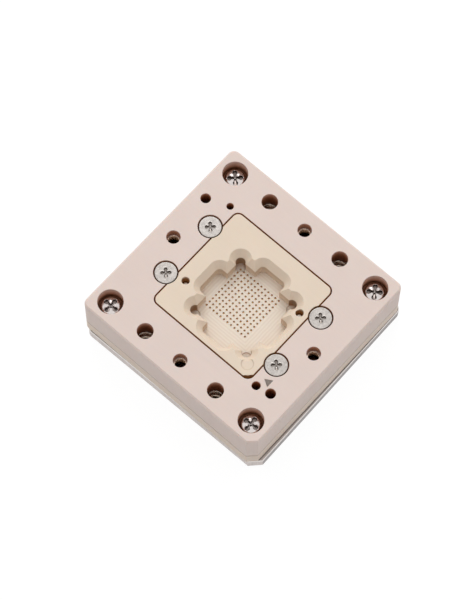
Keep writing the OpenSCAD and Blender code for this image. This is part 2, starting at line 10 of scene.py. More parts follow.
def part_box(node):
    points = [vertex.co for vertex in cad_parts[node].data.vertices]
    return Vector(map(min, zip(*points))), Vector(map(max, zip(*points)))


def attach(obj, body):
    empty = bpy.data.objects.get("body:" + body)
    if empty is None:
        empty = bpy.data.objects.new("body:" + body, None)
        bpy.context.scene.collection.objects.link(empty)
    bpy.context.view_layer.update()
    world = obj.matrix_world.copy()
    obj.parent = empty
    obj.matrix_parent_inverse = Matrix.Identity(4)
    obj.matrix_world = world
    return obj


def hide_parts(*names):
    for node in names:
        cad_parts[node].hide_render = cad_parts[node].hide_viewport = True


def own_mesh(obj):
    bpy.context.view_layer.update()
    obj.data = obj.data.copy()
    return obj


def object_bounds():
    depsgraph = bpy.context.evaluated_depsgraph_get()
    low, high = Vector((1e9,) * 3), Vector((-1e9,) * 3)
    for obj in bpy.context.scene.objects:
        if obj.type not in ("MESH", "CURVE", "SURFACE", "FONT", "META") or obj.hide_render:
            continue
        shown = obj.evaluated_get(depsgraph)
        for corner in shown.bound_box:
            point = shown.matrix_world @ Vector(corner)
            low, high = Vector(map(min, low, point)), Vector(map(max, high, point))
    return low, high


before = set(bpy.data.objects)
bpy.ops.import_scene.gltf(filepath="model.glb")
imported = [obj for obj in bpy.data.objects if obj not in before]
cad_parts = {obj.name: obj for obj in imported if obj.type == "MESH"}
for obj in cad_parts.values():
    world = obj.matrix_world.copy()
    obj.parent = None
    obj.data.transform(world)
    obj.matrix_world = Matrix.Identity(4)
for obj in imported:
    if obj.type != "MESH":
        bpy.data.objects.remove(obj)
cad_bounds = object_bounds()


# ---------------------------------------------------------------- base plate
# The metal plate at the foot of the stack, milled from bar, with fine upright ribs
# round its sides. It lies slightly askew, so a strip of its top shows past the plastic.
# The four corner screws pull the whole stack down on it.

MM = 0.001


def shown_as(red, green, blue):
    """Linear colour that is displayed as the given 8 bit one, by the sRGB curve."""
    def linear(level):
        level /= 255
        return level / 12.92 if level <= 0.04045 else ((level + 0.055) / 1.055) ** 2.4
    return (linear(red), linear(green), linear(blue), 1.0)


def shaded(colour, factor):
    return tuple(min(c * factor, 1.0) for c in colour[:3]) + (1.0,)


class ShaderNodes:
    """Adds and links the nodes of one material or node group."""

    def __init__(self, tree):
        self.tree = tree

    def feed(self, value, socket):
        """Links a socket's value in, or sets a plain one."""
        if isinstance(value, bpy.types.NodeSocket):
            self.tree.links.new(value, socket)
        else:
            socket.default_value = value

    def add(self, kind, inputs=None, **settings):
        node = self.tree.nodes.new(kind)
        for key, value in settings.items():
            setattr(node, key, value)
        for key, value in (inputs or {}).items():
            self.feed(value, node.inputs[key])
        return node

    def effect(self, tree, **inputs):
        """Outputs of a shared effect, whose inputs are named as its sockets are."""
        named = {key.replace("_", " "): value for key, value in inputs.items()}
        return self.add("ShaderNodeGroup", named, node_tree=tree).outputs

    def math(self, operation, a, b=0.0):
        return self.add("ShaderNodeMath", {0: a, 1: b}, operation=operation).outputs[0]

    def distance(self, x, y):
        return self.math("SQRT", self.math("ADD", self.math("MULTIPLY", x, x),
                                           self.math("MULTIPLY", y, y)))

    def mix(self, factor, first, second, blend="MIX"):
        return self.add("ShaderNodeMix", {0: factor, 6: first, 7: second},
                        data_type="RGBA", blend_type=blend).outputs[2]

    def remap(self, value, from_low, from_high, to_low=0.0, to_high=1.0, kind="SMOOTHSTEP"):
        ends = {0: value, 1: from_low, 2: from_high, 3: to_low, 4: to_high}
        return self.add("ShaderNodeMapRange", ends, interpolation_type=kind).outputs[0]

    def noise(self, place, scale, detail=2.0, roughness=0.5):
        inputs = {"Vector": place, "Scale": scale, "Detail": detail, "Roughness": roughness}
        return self.add("ShaderNodeTexNoise", inputs).outputs[0]

    def place(self, x=1000, y=1000, z=1000):
        """Object coordinates in millimetres, or stretched by other factors."""
        coordinates = self.add("ShaderNodeTexCoord").outputs["Object"]
        return self.add("ShaderNodeVectorMath", {0: coordinates, 1: (x, y, z)},
                        operation="MULTIPLY").outputs[0]

    def axes(self):
        """X, Y and Z of the Object coordinates, in metres."""
        coordinates = self.add("ShaderNodeTexCoord").outputs["Object"]
        return self.add("ShaderNodeSeparateXYZ", {0: coordinates}).outputs

    def facing(self):
        """X, Y and upward part of the face's own normal: 1 up on a level top, 0 on a side."""
        normal = self.add("ShaderNodeNewGeometry").outputs["True Normal"]
        return self.add("ShaderNodeSeparateXYZ", {0: normal}).outputs

    def relief(self, strength, distance, height, **normal):
        """Normal of a surface with a fine height on it."""
        inputs = {"Strength": strength, "Distance": distance, "Height": height, **normal}
        return self.add("ShaderNodeBump", inputs).outputs[0]


def effect_group(name, inputs, outputs):
    """Empty node group with named sockets, and its input and output nodes."""
    group = bpy.data.node_groups.new(name, "ShaderNodeTree")
    for key, kind, value in inputs:
        socket = group.interface.new_socket(key, in_out="INPUT", socket_type=kind)
        socket.default_value = value
    for key, kind in outputs:
        group.interface.new_socket(key, in_out="OUTPUT", socket_type=kind)
    n = ShaderNodes(group)
    return group, n, n.add("NodeGroupInput").outputs, n.add("NodeGroupOutput").inputs


def begin_material(name, colour):
    """New material with a Principled shader on its output."""
    material = bpy.data.materials.new(name)
    material.use_nodes = True
    material.diffuse_color = colour
    material.node_tree.nodes.clear()
    n = ShaderNodes(material.node_tree)
    shader = n.add("ShaderNodeBsdfPrincipled")
    n.add("ShaderNodeOutputMaterial", {0: shader.outputs[0]})
    return material, n, shader


def finish_nodes(material, *names):
    """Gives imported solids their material."""
    for name in names:
        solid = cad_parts[name]
        if not solid.material_slots:
            solid.data.materials.append(material)
        for slot in solid.material_slots:
            slot.material = material


def broken_edges():
    """How near a face is to a broken edge, and the normal that rounds that edge."""
    group, n, given, result = effect_group(
        "broken_edges", [("Radius", "NodeSocketFloat", 0.0001)],
        [("Edge", "NodeSocketFloat"), ("Normal", "NodeSocketVector")])
    rounded = n.add("ShaderNodeBevel", {"Radius": given["Radius"]}, samples=6).outputs[0]
    flat = n.add("ShaderNodeNewGeometry").outputs["Normal"]
    along = n.add("ShaderNodeVectorMath", {0: rounded, 1: flat},
                  operation="DOT_PRODUCT").outputs["Value"]
    n.feed(n.remap(along, 0.99, 0.75), result["Edge"])
    n.feed(rounded, result["Normal"])
    return group


def painted_depth_shade():
    """Painted shade that warms and darkens the colour in corners, holes and gaps, where light
    has bounced many times, and the share of it that is painted to glow there."""
    black = (0, 0, 0, 1)
    group, n, given, result = effect_group(
        "painted_depth_shade",
        [("Open", "NodeSocketColor", (1, 1, 1, 1)), ("Warm", "NodeSocketColor", (1, 1, 1, 1)),
         ("Deep", "NodeSocketColor", black), ("Reach", "NodeSocketFloat", 4 * MM),
         ("Closed", "NodeSocketFloat", 0.04), ("Free", "NodeSocketFloat", 0.5)],
        [("Color", "NodeSocketColor"), ("Glow", "NodeSocketColor")])
    openness = n.add("ShaderNodeAmbientOcclusion", {"Distance": given["Reach"]},
                     samples=12).outputs["AO"]
    half = n.math("MULTIPLY", n.math("ADD", given["Closed"], given["Free"]), 0.5)
    warmed = n.mix(n.remap(openness, given["Closed"], given["Free"]), given["Warm"], given["Open"])
    closed = n.remap(openness, 0.0, half)
    n.feed(n.mix(closed, given["Deep"], warmed), result["Color"])
    n.feed(n.mix(closed, given["Deep"], black), result["Glow"])
    return group


BROKEN_EDGES, PAINTED_DEPTH_SHADE = broken_edges(), painted_depth_shade()

BARE_METAL, PAINTED_BEVEL_HIGHLIGHT = shown_as(206, 196, 192), shown_as(236, 230, 226)
PAINTED_LEDGE_SHADE, PAINTED_SHADE_AT_X = shown_as(118, 110, 105), shown_as(186, 186, 188)
RIB_STRETCH, RIB_SHARE = (6500, 6500, 60), 0.65


def milled_metal():
    material, n, shader = begin_material("milled_base_metal", BARE_METAL)
    ribs = n.noise(n.place(*RIB_STRETCH), 1.0, 2.0, 0.6)
    blotches = n.noise(n.place(), 0.5)
    uneven = n.math("ADD", n.math("MULTIPLY", ribs, RIB_SHARE),
                    n.math("MULTIPLY", blotches, 1 - RIB_SHARE))
    sides = n.mix(n.remap(uneven, 0.3, 0.7), shaded(BARE_METAL, 0.86), shaded(BARE_METAL, 1.12))
    facing_x, _, facing_up = n.facing()
    # Painted shade: sides turned towards +X are darkened.
    sides = n.mix(n.remap(facing_x, 0.8, 0.95), sides, PAINTED_SHADE_AT_X, "MULTIPLY")
    # Painted shade on the level tops, darkest where the retainer stands close over them.
    top = n.effect(PAINTED_DEPTH_SHADE, Open=sides, Warm=PAINTED_LEDGE_SHADE, Deep=shaded(PAINTED_LEDGE_SHADE, 0.6),
                   Reach=0.6 * MM, Closed=0.5, Free=0.9)["Color"]
    # Painted highlight on the bevel faces, which lean halfway up.
    bevel_highlighted = n.mix(n.remap(facing_up, 0.3, 0.6), sides, PAINTED_BEVEL_HIGHLIGHT)
    n.feed(n.mix(n.remap(facing_up, 0.9, 0.98), bevel_highlighted, top), shader.inputs["Base Color"])
    n.feed(n.remap(uneven, 0.0, 1.0, 0.5, 0.36, "LINEAR"), shader.inputs["Roughness"])
    edges = n.effect(BROKEN_EDGES, Radius=0.08 * MM)
    n.feed(n.relief(0.3, 0.01 * MM, uneven, Normal=edges["Normal"]), shader.inputs["Normal"])
    shader.inputs["Metallic"].default_value = 0.55
    return material


finish_nodes(milled_metal(), "base_plate")


# ---------------------------------------------------------------- retainer plate
# A flat plate of warm beige engineering plastic, sawn and face-milled. It lies on the
# base plate and keeps the probes in from below.

UPRIGHT_LINES, LEVEL_LINES = (5200, 5200, 90), (70, 2600, 70)
GRAIN_SHARE, CLOUD_SHARE = 0.55, 0.5
SEAM_DARKEST, SEAM_WIDEST, SEAM_SHADE = 0.12 * MM, 0.26 * MM, 0.72


def machined_face():
    """Tone and height of a machined plastic face: fine grain, faint clouds, lines
    across level faces and upright cutter lines on the sides."""
    group, n, given, result = effect_group(
        "machined_face", [("Lines", "NodeSocketFloat", 0.5)],
        [("Tone", "NodeSocketFloat"), ("Height", "NodeSocketFloat")])
    grain = n.noise(n.place(), 7.0, 3.0, 0.6)
    clouds = n.noise(n.place(), 0.16)
    level = n.remap(n.math("ABSOLUTE", n.facing()[2]), 0.3, 0.6)
    on_sides, on_level = (n.noise(n.place(*stretch), 1.0, 2.0, 0.6)
                          for stretch in (UPRIGHT_LINES, LEVEL_LINES))
    lines = n.add("ShaderNodeMix", {0: level, 2: on_sides, 3: on_level},
                  data_type="FLOAT").outputs[0]
    tone = 0.0
    for pattern, weight in ((grain, GRAIN_SHARE), (lines, given["Lines"]), (clouds, CLOUD_SHARE)):
        centred = n.math("SUBTRACT", pattern, 0.5)
        tone = n.math("ADD", tone, n.math("MULTIPLY", centred, weight))
    n.feed(tone, result["Tone"])
    n.feed(n.math("ADD", n.math("MULTIPLY", grain, 0.6), n.math("MULTIPLY", lines, given["Lines"])),
           result["Height"])
    return group


def seam_line():
    """Thin line of shade where two plates meet at the given height."""
    group, n, given, result = effect_group(
        "seam_line", [("Seam", "NodeSocketFloat", 0.0)], [("Shade", "NodeSocketFloat")])
    away = n.math("ABSOLUTE", n.math("SUBTRACT", n.axes()[2], given["Seam"]))
    n.feed(n.remap(away, SEAM_DARKEST, SEAM_WIDEST, SEAM_SHADE, 1.0), result["Shade"])
    return group


MACHINED_FACE, SEAM_LINE = machined_face(), seam_line()
EDGE_HIGHLIGHT, HIGHLIGHT_PALER = 0.6, 1.12
SOFT_SHEEN = {"IOR": 1.48, "Specular IOR Level": 0.35, "Subsurface Weight": 0.12,
              "Subsurface Radius": (1.0, 0.55, 0.32), "Subsurface Scale": 0.6 * MM}


def machined_plastic(name, plastic, warm, deep, free, roughness, lines=0.35, seam=None,
                     own_faces=None, glow=0.0, glow_from=0.0):
    """Matt machined plastic with painted highlights on its broken edges and painted warm shade
    in its depths. own_faces gives the colour of a piece whose faces differ from one another,
    and glow a painted glow, as of light come through the plastic, in gaps above a height."""
    material, n, shader = begin_material(name, plastic)
    face = n.effect(MACHINED_FACE, Lines=lines)
    edges = n.effect(BROKEN_EDGES, Radius=0.12 * MM)
    tone = n.remap(face["Tone"], -0.5, 0.5, 0.94, 1.06, "LINEAR")
    if seam is not None:
        tone = n.math("MULTIPLY", tone, n.effect(SEAM_LINE, Seam=seam)["Shade"])
    colour = own_faces(n, plastic) if own_faces else plastic
    edge_highlight = colour if own_faces else shaded(plastic, HIGHLIGHT_PALER)
    grey = n.add("ShaderNodeCombineColor", {0: tone, 1: tone, 2: tone}).outputs[0]
    toned = n.mix(1.0, colour, grey, "MULTIPLY")
    # Painted highlight: broken edges are paler.
    open_face = n.mix(n.math("MULTIPLY", edges["Edge"], EDGE_HIGHLIGHT), toned, edge_highlight)
    # Painted shade: warm and deep colours in corners, holes and gaps.
    depth = n.effect(PAINTED_DEPTH_SHADE, Open=open_face, Warm=warm, Deep=deep, Free=free)
    n.feed(depth["Color"], shader.inputs["Base Color"])
    n.feed(n.relief(0.25, 0.02 * MM, face["Height"], Normal=edges["Normal"]),
           shader.inputs["Normal"])
    n.feed(n.remap(face["Tone"], -0.4, 0.4, roughness + 0.06, roughness - 0.06, "LINEAR"),
           shader.inputs["Roughness"])
    # Painted glow: the deep colour emits light in gaps above the given height.
    if glow:
        high = n.remap(n.axes()[2], glow_from, glow_from + MM)
        n.feed(n.mix(high, (0, 0, 0, 1), depth["Glow"]), shader.inputs["Emission Color"])
        shader.inputs["Emission Strength"].default_value = glow
    for key, value in SOFT_SHEEN.items():
        shader.inputs[key].default_value = value
    return material


def foot_of(node):
    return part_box(node)[0][2]


def top_of(node):
    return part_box(node)[1][2]


# Its warm and deep colours are painted shade in holes and gaps.
RETAINER_PLASTIC = machined_plastic(
    "retainer_plastic", shown_as(234, 216, 200), warm=shown_as(222, 186, 160),
    deep=shown_as(140, 84, 54), free=0.35, roughness=0.55, seam=top_of("retainer_plate"))
finish_nodes(RETAINER_PLASTIC, "retainer_plate")


# ---------------------------------------------------------------- retainer screws
# Small bright-plated screws that hold the retainer plate to the body from below, so
# that the probes stay in when the stack is taken off its base plate.

def metal_grain():
    """Uneven tone of plated or turned metal, and the fine height of its grain."""
    group, n, given, result = effect_group(
        "metal_grain", [("Grains per mm", "NodeSocketFloat", 4.0)],
        [("Share", "NodeSocketFloat"), ("Height", "NodeSocketFloat")])
    grain = n.noise(n.place(), given["Grains per mm"], 4.0, 0.65)
    blotches = n.noise(n.place(), 0.9)
    share = n.math("ADD", n.math("MULTIPLY", grain, 0.75), n.math("MULTIPLY", blotches, 0.25))
    n.feed(n.remap(share, 0.32, 0.68), result["Share"])
    n.feed(grain, result["Height"])
    return group


METAL_GRAIN = metal_grain()


def plated_metal(name, metal, dark, roughness, grains, contrast, grain_depth, reach, closed,
                 free):
    """Plated or turned metal, with painted shade down in recesses, bores and threads."""
    material, n, shader = begin_material(name, metal)
    grain = n.effect(METAL_GRAIN, Grains_per_mm=grains)
    bright = n.mix(grain["Share"], shaded(metal, 1 - contrast), shaded(metal, 1 + contrast))
    depth = n.effect(PAINTED_DEPTH_SHADE, Open=bright, Warm=dark, Deep=shaded(dark, 0.45), Reach=reach,
                     Closed=closed, Free=free)
    edges = n.effect(BROKEN_EDGES, Radius=0.05 * MM)
    n.feed(depth["Color"], shader.inputs["Base Color"])
    n.feed(n.relief(0.5, grain_depth, grain["Height"], Normal=edges["Normal"]),
           shader.inputs["Normal"])
    n.feed(n.remap(grain["Share"], 0.0, 1.0, 0.85 * roughness, 1.2 * roughness, "LINEAR"),
           shader.inputs["Roughness"])
    shader.inputs["Metallic"].default_value = 1.0
    return material


BRIGHT_PLATING = plated_metal(
    "bright_plating", shown_as(218, 210, 207), dark=shown_as(88, 72, 64), roughness=0.14,
    grains=3.0, contrast=0.05, grain_depth=0.006 * MM, reach=0.85 * MM, closed=0.3, free=0.8)
finish_nodes(BRIGHT_PLATING, *(f"retainer_screw_{i}" for i in range(1, 5)))


# ---------------------------------------------------------------- spring probes
# A square field of gold-plated contact probes: a crimped barrel, a pointed tip just
# under the pocket's floor, and a foot that stands out under the retainer plate.

GOLD, GOLD_IN_SHADE, GOLD_DEEP_SHADE = (shown_as(236, 180, 110), shown_as(232, 164, 96),
                                  shown_as(196, 122, 62))


def probe_gold():
    material, n, shader = begin_material("probe_gold", GOLD)
    grain = n.effect(METAL_GRAIN, Grains_per_mm=5.0)
    plated = n.mix(grain["Share"], shaded(GOLD, 0.85), shaded(GOLD, 1.15))
    # Painted shade: the gold warms and darkens down in its holes.
    depth = n.effect(PAINTED_DEPTH_SHADE, Open=plated, Warm=GOLD_IN_SHADE, Deep=GOLD_DEEP_SHADE,
                     Reach=0.5 * MM, Closed=0.02, Free=0.3)
    n.feed(depth["Color"], shader.inputs["Base Color"])
    n.feed(n.remap(grain["Share"], 0.0, 1.0, 0.36, 0.5, "LINEAR"), shader.inputs["Roughness"])
    shader.inputs["Metallic"].default_value = 0.2
    return material


finish_nodes(probe_gold(), "probe_barrels", "probe_tips", "probe_feet")


# ---------------------------------------------------------------- socket body and probe plate
# The body is a thick block of pinkish beige engineering plastic, milled on every face
# and drilled from above. The probe plate of the same plastic sits in its floor.

GLOWING_HEIGHT = 1.5 * MM
# Its warm and deep colours are painted shade in holes and gaps, and its glow is a painted glow in
# gaps near the top.
BODY_PLASTIC = machined_plastic(
    "body_plastic", shown_as(228, 210, 201), warm=shown_as(208, 144, 106),
    deep=shown_as(134, 80, 46), free=0.95, roughness=0.55, seam=foot_of("socket_body"),
    glow=0.16, glow_from=top_of("socket_body") - GLOWING_HEIGHT)
finish_nodes(BODY_PLASTIC, "socket_body", "probe_plate")


# ---------------------------------------------------------------- lid inserts and locating bushes
# Steel inserts with a machine thread take the lid's screws, and plain steel bushes take
# its pins. Each is pushed up into the body from below and held there by its flange.

TURNED_STEEL = plated_metal(
    "turned_steel", shown_as(232, 222, 212), dark=shown_as(168, 146, 126), roughness=0.14,
    grains=4.0, contrast=0.08, grain_depth=0.01 * MM, reach=2.5 * MM, closed=0.03, free=0.25)
FLANGE_LEDGE, FLANGE_THICKNESS = 0.35, 0.5
THREAD_PITCH, FLANK_GAP, ROOT_SUNK = 0.45, 0.04, 0.02
THREAD_STEPS, TURNED_STEPS, MERGED_WITHIN = 48, 64, 0.0005
SHARP_FROM = math.radians(45)


def middle_of(node):
    low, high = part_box(node)
    return (Vector(low) + Vector(high)) / 2


def size_of(node):
    """A node's width, depth and height in millimetres."""
    low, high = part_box(node)
    return (Vector(high) - Vector(low)) / MM


def turn_on_lathe(bm, steps):
    """Turns every chain of edges in the mesh about the Z axis, and closes seam and poles."""
    bmesh.ops.spin(bm, geom=bm.verts[:] + bm.edges[:], axis=(0, 0, 1), angle=2 * math.pi,
                   steps=steps, use_merge=True)
    bmesh.ops.remove_doubles(bm, verts=bm.verts, dist=MERGED_WITHIN)


def chain_of(bm, points):
    """Chain of edges through (radius, height) points in the plane of the lathe's cut."""
    corners = [bm.verts.new((radius, 0, height)) for radius, height in points]
    return corners, [bm.edges.new(pair) for pair in zip(corners, corners[1:])]


def wind(bm, section, turns, rise, steps_per_turn):
    """Sweeps a section along a helix about the Z axis, and returns its last edges."""
    steps = round(turns * steps_per_turn)
    wound = bmesh.ops.spin(bm, geom=section, axis=(0, 0, 1), dvec=(0, 0, rise / steps),
                           angle=2 * math.pi * turns, steps=steps)
    return [item for item in wound["geom_last"] if isinstance(item, bmesh.types.BMEdge)]


def piece_at(name, bm, place, material):
    """Object of a mesh made in millimetres about the origin, set down at its place."""
    bmesh.ops.scale(bm, vec=(MM, MM, MM), verts=bm.verts)
    bmesh.ops.translate(bm, vec=place, verts=bm.verts)
    bmesh.ops.recalc_face_normals(bm, faces=bm.faces)
    mesh = bpy.data.meshes.new(name)
    bm.to_mesh(mesh)
    bm.free()
    mesh.shade_smooth()
    mesh.set_sharp_from_angle(angle=SHARP_FROM)
    mesh.materials.append(material)
    piece = bpy.data.objects.new(name, mesh)
    bpy.context.scene.collection.objects.link(piece)
    return piece


def cut_thread(bm, bore, wall, length):
    """Ridge of a thread from the wall of a bore inwards, along its length."""
    root, flank = wall + ROOT_SUNK, THREAD_PITCH / 2 - FLANK_GAP
    corners, section = chain_of(bm, [(root, FLANK_GAP), (bore, FLANK_GAP + flank),
                                     (root, FLANK_GAP + 2 * flank)])
    section.append(bm.edges.new((corners[-1], corners[0])))
    turns = math.floor(length / THREAD_PITCH) - 1
    wind(bm, section, turns, turns * THREAD_PITCH, THREAD_STEPS)
    bmesh.ops.holes_fill(bm, edges=bm.edges, sides=3)


def flanged_sleeve(node, bore, mouth, mouth_depth, thread_depth=0.0):
    """Turned sleeve with a flange at its foot and a countersunk mouth, and a threaded
    bore where the thread has a depth."""
    size = size_of(node)
    outer, length, wall = size.x / 2 - FLANGE_LEDGE, size.z, bore + thread_depth
    bm = bmesh.new()
    chain_of(bm, [(wall, 0), (wall, length - mouth_depth), (mouth, length), (outer, length),
                  (outer, FLANGE_THICKNESS), (outer + FLANGE_LEDGE, FLANGE_THICKNESS),
                  (outer + FLANGE_LEDGE, 0), (wall, 0)])
    turn_on_lathe(bm, TURNED_STEPS)
    if thread_depth:
        cut_thread(bm, bore, wall, length - mouth_depth)
    middle = middle_of(node)
    sleeve = piece_at(f"turned_{node}", bm, (middle.x, middle.y, foot_of(node)), TURNED_STEEL)
    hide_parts(node)
    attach(sleeve, "socket")


for i in range(1, 5):
    flanged_sleeve(f"lid_insert_{i}", bore=1.05, mouth=1.36, mouth_depth=0.15, thread_depth=0.2)
    flanged_sleeve(f"locating_bush_{i}", bore=0.9, mouth=0.98, mouth_depth=0.08)


# ---------------------------------------------------------------- guide pins and dowels
# Ground steel pins: two guide the nest up and down, and two dowels line the body up
# with the retainer plate under it. Their ends show at the bottom of small holes.

finish_nodes(TURNED_STEEL, "guide_pin_1", "guide_pin_2", "dowel_pin_1", "dowel_pin_2")


# ---------------------------------------------------------------- nest springs
# Four compression springs of round steel wire, with their end turns laid flat, stand in
# blind holes in the body's floor and push the nest up against its screws.

SPRING_STEEL = plated_metal(
    "spring_steel", shown_as(176, 172, 168), dark=shown_as(70, 64, 58), roughness=0.3,
    grains=5.0, contrast=0.08, grain_depth=0.01 * MM, reach=1.0 * MM, closed=0.05, free=0.4)
WIRE_RADIUS, COIL_TURNS, FLAT_TURN = 0.13, 6, 0.75
WINDING_STEPS, WIRE_SIDES = 28, 10

for i in range(1, 5):
    node = f"nest_spring_{i}"
    size, middle = size_of(node), middle_of(node)
    foot = (middle.x, middle.y, foot_of(node))
    bm = bmesh.new()
    wire = bmesh.ops.create_circle(bm, segments=WIRE_SIDES, radius=WIRE_RADIUS)["verts"]
    bmesh.ops.rotate(bm, verts=wire, matrix=Matrix.Rotation(math.pi / 2, 3, "X"))
    bmesh.ops.translate(bm, verts=wire, vec=(size.x / 2 - WIRE_RADIUS, 0, WIRE_RADIUS))
    end = bm.edges[:]
    for turns, rise in ((FLAT_TURN, 0.0),
                        (COIL_TURNS - 2 * FLAT_TURN, size.z - 2 * WIRE_RADIUS),
                        (FLAT_TURN, 0.0)):
        end = wind(bm, end, turns, rise, WINDING_STEPS)
    bmesh.ops.holes_fill(bm, edges=bm.edges, sides=WIRE_SIDES)
    spring = piece_at(f"wound_{node}", bm, foot, SPRING_STEEL)
    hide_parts(node)
    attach(spring, "socket")
    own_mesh(spring)


# ---------------------------------------------------------------- floating nest
# The cream-coloured carrier that the package drops into, milled from a lighter plastic.
# The cutter went round the pocket's floor in square passes and left fine lines there,
# and the upright walls carry painted brown shade, heaviest near their top.

CREAM, PAINTED_WALL_SHADE, PAINTED_RELIEF_SHADE = (shown_as(232, 214, 194), shown_as(176, 142, 108),
                                   shown_as(152, 122, 94))
DARK_PASS, PALE_PASS = shown_as(234, 220, 204), shown_as(241, 229, 214)
MARK_RIM, PAINTED_GAP_SHADE = shown_as(214, 194, 172), shown_as(116, 70, 34)
POCKET_DEPTH, WALL_HEIGHT, POCKET_SHIFT = 3.8, 2.35, 1.2
RELIEF_PLACE, RELIEF_RADIUS = 5.85, 0.87
KEY_MARK_PLACE, KEY_MARK_RADIUS = 8.855, 1.05
BEVEL_FROM, BEVEL_FULL = 10.4, 10.5
PASS_RATE, WALL_BLEND = 12.0, 0.1


def nest_faces(n, plastic):
    """Colour of the nest's own faces: pale lines on the floor, painted brown shade on the
    upright walls, the ring of the key mark and painted dark shade on the outer bevel."""
    middle = middle_of("floating_nest")
    floor = top_of("floating_nest") - POCKET_DEPTH * MM
    x, y, z = n.axes()
    facing_up = n.facing()[2]

    across = n.math("ABSOLUTE", n.math("SUBTRACT", x, middle.x + POCKET_SHIFT * MM))
    along = n.math("ABSOLUTE", n.math("SUBTRACT", y, middle.y - POCKET_SHIFT * MM))
    ring = n.math("MULTIPLY", n.math("MAXIMUM", across, along), 1 / MM)
    wobble = n.math("MULTIPLY", n.noise(n.place(), 0.8), 0.2)
    passes = n.math("SINE", n.math("MULTIPLY", n.math("ADD", ring, wobble), PASS_RATE))
    lined = n.mix(n.remap(passes, -1.0, 1.0, 0.0, 1.0, "LINEAR"), DARK_PASS, PALE_PASS)

    # Painted shade: upright walls under the lead-in turn brown, more towards their top.
    upright = n.remap(n.math("ABSOLUTE", facing_up), 0.35, 0.1)
    under_lead_in = n.remap(z, floor + (WALL_HEIGHT + WALL_BLEND) * MM,
                            floor + (WALL_HEIGHT - WALL_BLEND) * MM)
    on_wall = n.math("MULTIPLY", upright, under_lead_in)
    wall_shading = n.remap(z, floor, floor + WALL_HEIGHT * MM, 0.2, 0.6)
    walls = n.mix(n.math("MULTIPLY", on_wall, wall_shading), plastic, PAINTED_WALL_SHADE)
    # Painted shade: walls round the relief holes turn a darker brown.
    from_relief = n.distance(n.math("SUBTRACT", across, RELIEF_PLACE * MM),
                             n.math("SUBTRACT", along, RELIEF_PLACE * MM))
    near_relief = n.remap(from_relief, (RELIEF_RADIUS + 0.15) * MM, (RELIEF_RADIUS + 0.03) * MM)
    walls = n.mix(n.math("MULTIPLY", near_relief, on_wall), walls, PAINTED_RELIEF_SHADE)

    near_floor = n.remap(z, floor + 0.2 * MM, floor + 0.05 * MM)
    on_floor = n.math("MULTIPLY", near_floor, n.remap(facing_up, 0.5, 0.9))
    pocket = n.mix(on_floor, walls, lined)

    from_mark = n.distance(n.math("SUBTRACT", x, middle.x + KEY_MARK_PLACE * MM),
                           n.math("SUBTRACT", y, middle.y - KEY_MARK_PLACE * MM))
    off_rim = n.math("ABSOLUTE", n.math("SUBTRACT", from_mark, KEY_MARK_RADIUS * MM))
    on_rim = n.math("MULTIPLY", n.remap(off_rim, 0.16 * MM, 0.04 * MM),
                    n.remap(z, floor + 3 * MM, floor + 3.3 * MM))
    marked = n.mix(n.math("MULTIPLY", on_rim, 0.7), pocket, MARK_RIM)

    # Painted shade: the outer bevel turns dark brown, for the gap round the nest.
    off_middle = n.math("MAXIMUM", n.math("ABSOLUTE", n.math("SUBTRACT", x, middle.x)),
                        n.math("ABSOLUTE", n.math("SUBTRACT", y, middle.y)))
    outer_bevel = n.math("MULTIPLY", n.remap(off_middle, BEVEL_FROM * MM, BEVEL_FULL * MM),
                         n.remap(facing_up, 0.9, 0.8))
    return n.mix(outer_bevel, marked, PAINTED_GAP_SHADE)


# Its warm and deep colours are painted shade in hollows and gaps, and its glow is a painted glow in
# the gaps.
NEST_PLASTIC = machined_plastic(
    "nest_plastic", CREAM, warm=shown_as(170, 130, 94), deep=shown_as(150, 96, 48), free=0.45,
    roughness=0.5, lines=0.25, own_faces=nest_faces, glow=0.2,
    glow_from=foot_of("floating_nest") - MM)
finish_nodes(NEST_PLASTIC, "floating_nest")


# ---------------------------------------------------------------- nest screws
# Four thin flat-headed screws of satin nickel-plated steel. Their wide heads lap over
# the nest's edge and stop it at the top of its travel.

SATIN_NICKEL = plated_metal(
    "satin_nickel", shown_as(184, 178, 173), dark=shown_as(84, 62, 44), roughness=0.38,
    grains=4.5, contrast=0.22, grain_depth=0.05 * MM, reach=0.6 * MM, closed=0.2, free=0.75)
WALL_FALL, LIP_OUTSIDE, LIP_INSIDE = (0.02, -0.08), (0.16, 0.06), (-0.02, 0.05)
LIP_HEIGHT, FLOOR_RISE, PIT_RADIUS = 0.03, 0.35, 0.18
FACE_RINGS, FACE_STEPS, ROLL_STEPS, FACE_MARGIN = 56, 144, 5, 0.001
SHANK_RADIUS, TIP_CHAMFER = 1.0, 0.2


def smooth_step(low, high, value):
    share = min(max((value - low) / (high - low), 0.0), 1.0)
    return share * share * (3 - 2 * share)


def pressed_depth(x, y, recess):
    """How far the die presses the face down at a point: four arms with round ends,
    steep walls, a small pit in the middle, and a lip of metal pushed up round it all."""
    out = recess["reach"] - recess["lobe"]
    arms = min(math.hypot(max(abs(x) - out, 0.0), y),
               math.hypot(x, max(abs(y) - out, 0.0))) - recess["arm"]
    lobes = min(math.hypot(abs(x) - out, y), math.hypot(x, abs(y) - out)) - recess["lobe"]
    edge, radius = min(arms, lobes), math.hypot(x, y)
    wall = smooth_step(*WALL_FALL, edge)
    lip = smooth_step(*LIP_OUTSIDE, edge) * smooth_step(*LIP_INSIDE, edge)
    floor = recess["depth"] * (1.0 - FLOOR_RISE * min(radius / recess["reach"], 1.0))
    pit = recess["pit"] * smooth_step(PIT_RADIUS, 0.0, radius)
    return wall * floor + pit - LIP_HEIGHT * lip


